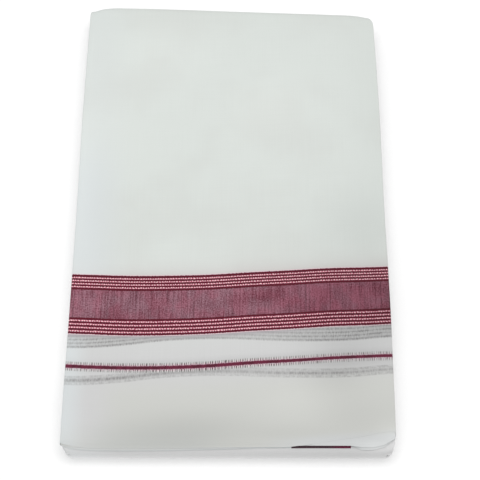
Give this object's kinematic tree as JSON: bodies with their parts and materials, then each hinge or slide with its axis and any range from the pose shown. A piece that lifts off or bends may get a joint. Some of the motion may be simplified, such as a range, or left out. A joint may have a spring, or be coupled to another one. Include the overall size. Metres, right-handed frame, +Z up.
{
  "type": "dhoti cloth",
  "caption": "Wrapped garment cloth of white cotton with a woven cross border, folded flat into a soft oblong packet.",
  "frame": {"origin": "middle of the packet's underside, on the surface that it lies on", "axes": "+X to the right across the cloth, +Y from the cut end to the back turn, +Z up"},
  "size_m": [0.2613, 0.4368, 0.0231],
  "materials": {
    "bordered_cotton": "fine plain weave white cotton with a maroon and pink border band and one thin maroon line woven across",
    "selvedge_cotton": "fine plain weave white cotton with a maroon selvedge border",
    "white_cotton": "fine plain weave white cotton, matt with a faint sheen"
  },
  "bodies": {
    "root": {"top_leaf": "bordered_cotton", "lower_plies": "selvedge_cotton", "back_turn": "white_cotton", "front_turn": "white_cotton", "bottom_leaf": "white_cotton", "hidden_layers": "white_cotton"}
  },
  "joints": []
}
